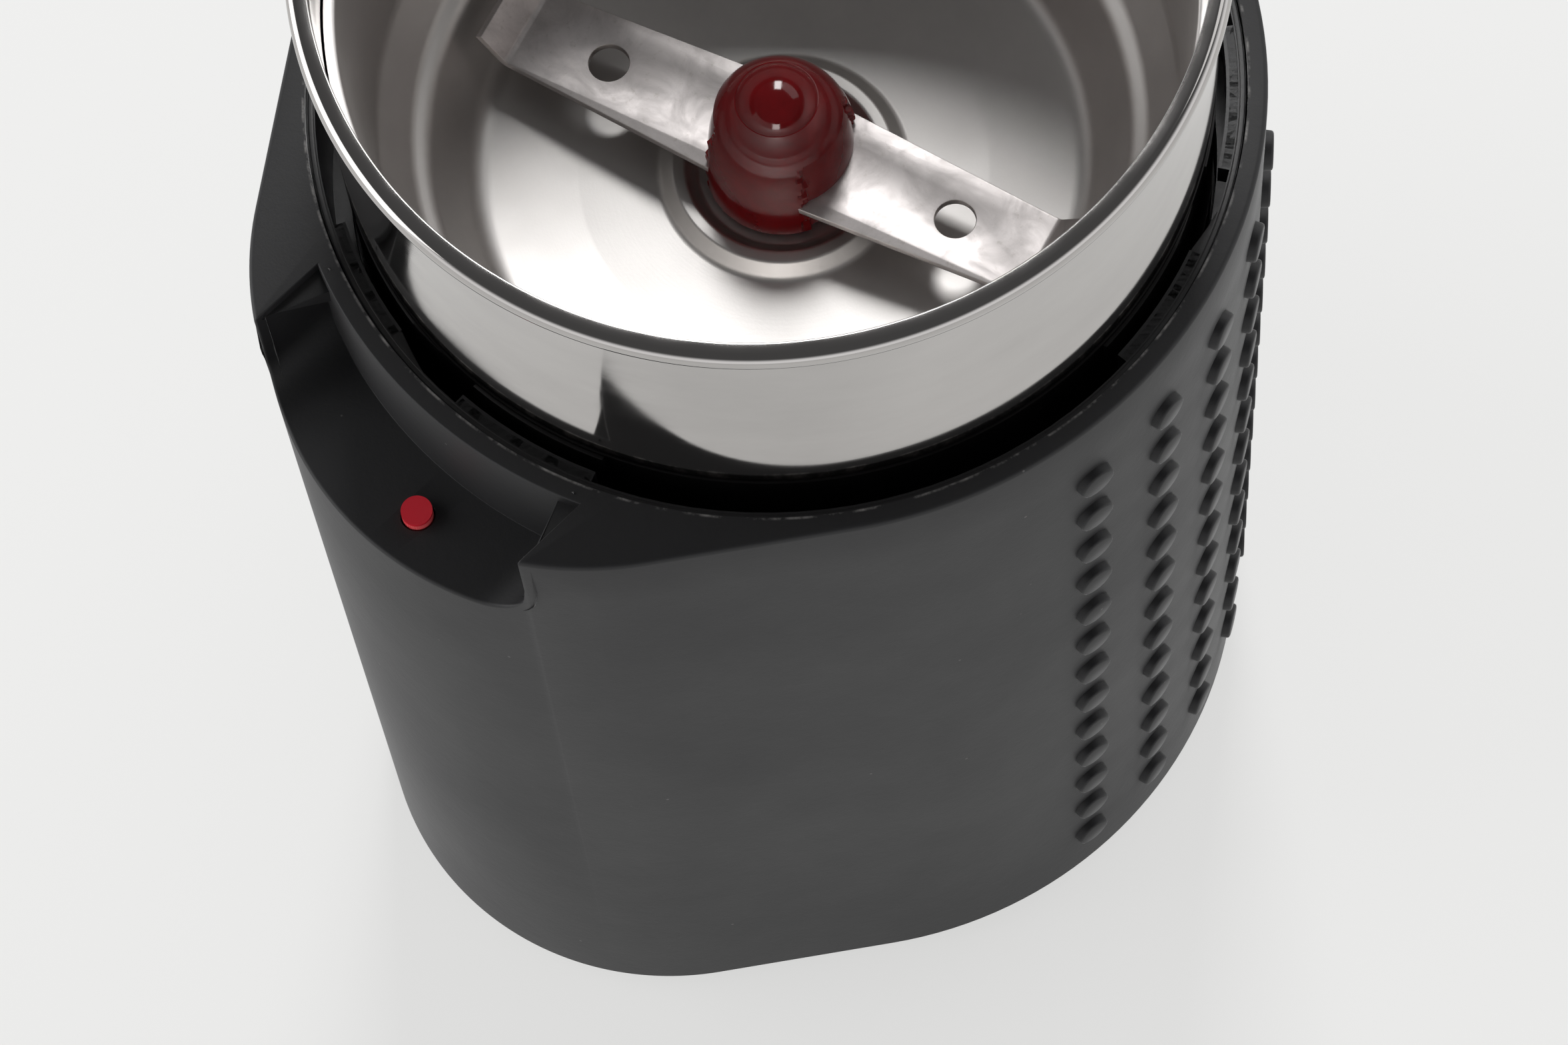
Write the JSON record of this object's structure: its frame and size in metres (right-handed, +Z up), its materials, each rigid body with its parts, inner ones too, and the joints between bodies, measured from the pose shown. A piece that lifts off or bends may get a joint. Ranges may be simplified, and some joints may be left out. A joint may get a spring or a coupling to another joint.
{
  "type": "electric spice grinder",
  "caption": "Electric spice grinder without its lid: steel bowl with a spinning two-armed blade, black grip sleeve with studs, motor and lid switch inside.",
  "frame": {"origin": "on the surface the grinder stands on, under the middle of its outer box; the bowl and motor axis stands 3.3 mm behind it, at Y = +3.3 mm", "axes": "+Z up, out of the bowl; -Y toward the lobe with the lid switch; +Y toward the cord inlet; +X to the right as seen facing the lobe"},
  "size_m": [0.0802, 0.089, 0.1311],
  "materials": {
    "grip_sleeve": "satin silicone",
    "body_housing": "fine matt moulding",
    "base_plate": "fine matt moulding",
    "rubber_feet": "matt rubber",
    "base_screws": "zinc plated",
    "collar_ring": "polished stainless steel",
    "grinding_bowl": "satin stainless steel",
    "bowl_carrier": "glass-filled moulding",
    "carrier_screws": "zinc plated",
    "shaft_seal": "silicone",
    "blade": "rolled stainless steel",
    "hub_cap": "glossy moulding",
    "hub_insert": "turned brass",
    "drive_shaft": "ground steel",
    "armature_core": "stacked sheet steel",
    "armature_windings": "enamelled copper",
    "commutator": "turned copper",
    "cooling_fan": "white moulding",
    "upper_bracket": "die cast",
    "lower_bracket": "glass-filled moulding",
    "upper_bearing": "sintered bronze",
    "lower_bearing": "sintered bronze",
    "stator_core": "stacked sheet steel",
    "field_coils": "enamelled copper",
    "motor_screws": "zinc plated",
    "motor_mounts": "matt rubber",
    "mount_screws": "zinc plated",
    "brush_boxes": "folded brass",
    "carbon_brushes": "pressed carbon",
    "brush_springs": "spring wire",
    "switch_pin": "satin moulding",
    "pin_spring": "spring wire",
    "microswitch_body": "phenolic moulding",
    "microswitch_plunger": "moulded",
    "microswitch_lever": "stamped",
    "switch_terminals": "tinned brass",
    "switch_screws": "zinc plated",
    "cord_gland": "matt rubber",
    "cord_clamp": "moulded",
    "clamp_screws": "zinc plated",
    "terminal_block": "moulded nylon",
    "terminal_screws": "tinned brass",
    "suppressor_capacitor": "potted box"
  },
  "bodies": {
    "body": {"grip_sleeve": "grip_sleeve", "body_housing": "body_housing", "base_plate": "base_plate", "rubber_feet": "rubber_feet", "base_screws": "base_screws", "collar_ring": "collar_ring", "grinding_bowl": "grinding_bowl", "bowl_carrier": "bowl_carrier", "carrier_screws": "carrier_screws", "shaft_seal": "shaft_seal", "upper_bracket": "upper_bracket", "lower_bracket": "lower_bracket", "upper_bearing": "upper_bearing", "lower_bearing": "lower_bearing", "stator_core": "stator_core", "field_coils": "field_coils", "motor_screws": "motor_screws", "motor_mounts": "motor_mounts", "mount_screws": "mount_screws", "brush_boxes": "brush_boxes", "carbon_brushes": "carbon_brushes", "brush_springs": "brush_springs", "pin_spring": "pin_spring", "microswitch_body": "microswitch_body", "switch_terminals": "switch_terminals", "switch_screws": "switch_screws", "cord_gland": "cord_gland", "cord_clamp": "cord_clamp", "clamp_screws": "clamp_screws", "terminal_block": "terminal_block", "terminal_screws": "terminal_screws", "suppressor_capacitor": "suppressor_capacitor"},
    "rotor": {"blade": "blade", "hub_cap": "hub_cap", "hub_insert": "hub_insert", "drive_shaft": "drive_shaft", "armature_core": "armature_core", "armature_windings": "armature_windings", "commutator": "commutator", "cooling_fan": "cooling_fan"},
    "lid_pin": {"switch_pin": "switch_pin"},
    "switch_lever": {"microswitch_lever": "microswitch_lever"},
    "switch_plunger": {"microswitch_plunger": "microswitch_plunger"}
  },
  "joints": [
    {"name": "rotor_spin", "type": "hinge", "parent": "body", "child": "rotor", "pos_m": [0, 0.0033, 0.05], "axis": [0, 0, 1], "continuous": true},
    {"name": "pin_press", "type": "slide", "parent": "body", "child": "lid_pin", "axis": [0, 0, -1], "range_m": [0, 0.0022], "stiffness_N_per_m": 400, "springref_m": -0.003, "deforming": ["pin_spring"]},
    {"name": "lever_swing", "type": "hinge", "parent": "body", "child": "switch_lever", "pos_m": [0.013, -0.0324, 0.06365], "axis": [0, -1, 0], "range_deg": [0, 12]},
    {"name": "plunger_press", "type": "slide", "parent": "body", "child": "switch_plunger", "axis": [0, 0, -1], "range_m": [0, 0.0015]}
  ],
  "couplings": [
    {"joint": "lever_swing", "follows": "pin_press", "rad_per_m": 93.46},
    {"joint": "plunger_press", "follows": "pin_press", "ratio": 0.654}
  ]
}
